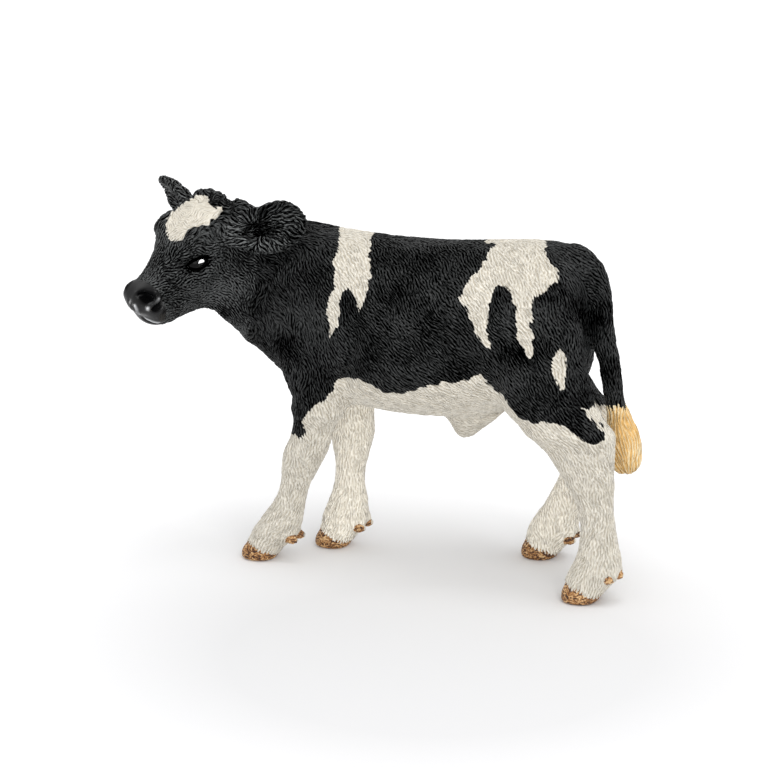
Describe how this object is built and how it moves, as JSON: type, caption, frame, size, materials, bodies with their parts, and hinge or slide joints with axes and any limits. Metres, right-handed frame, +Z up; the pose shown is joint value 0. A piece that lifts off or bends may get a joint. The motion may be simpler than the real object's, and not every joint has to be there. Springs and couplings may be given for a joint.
{
  "type": "toy farm animal figure",
  "caption": "Solid moulded toy calf, standing in a walking stance with its head turned to its left, carved hair coat painted black and white.",
  "frame": {"origin": "on the ground, in the middle of the figure's bounding box seen from above", "axes": "-X towards the nose along the trunk, +X towards the tail, -Y to the calf's left, +Z up, soles on Z = 0"},
  "size_m": [0.0812, 0.031, 0.0591],
  "materials": {
    "coat_black": "matt black paint on carved hair",
    "coat_white": "matt warm white paint on carved hair",
    "muzzle_black": "satin black paint, smooth",
    "eye_black": "high gloss black paint",
    "hoof_brown": "golden brown paint with dark brown streaks",
    "tuft_yellow": "matt straw yellow paint on carved strands"
  },
  "bodies": {
    "root": {"torso": "coat_black", "head": "coat_black", "left_ear": "coat_black", "right_ear": "coat_black", "left_foreleg": "coat_white", "right_foreleg": "coat_white", "left_hind_leg": "coat_white", "right_hind_leg": "coat_white", "tail": "coat_black"}
  },
  "joints": []
}
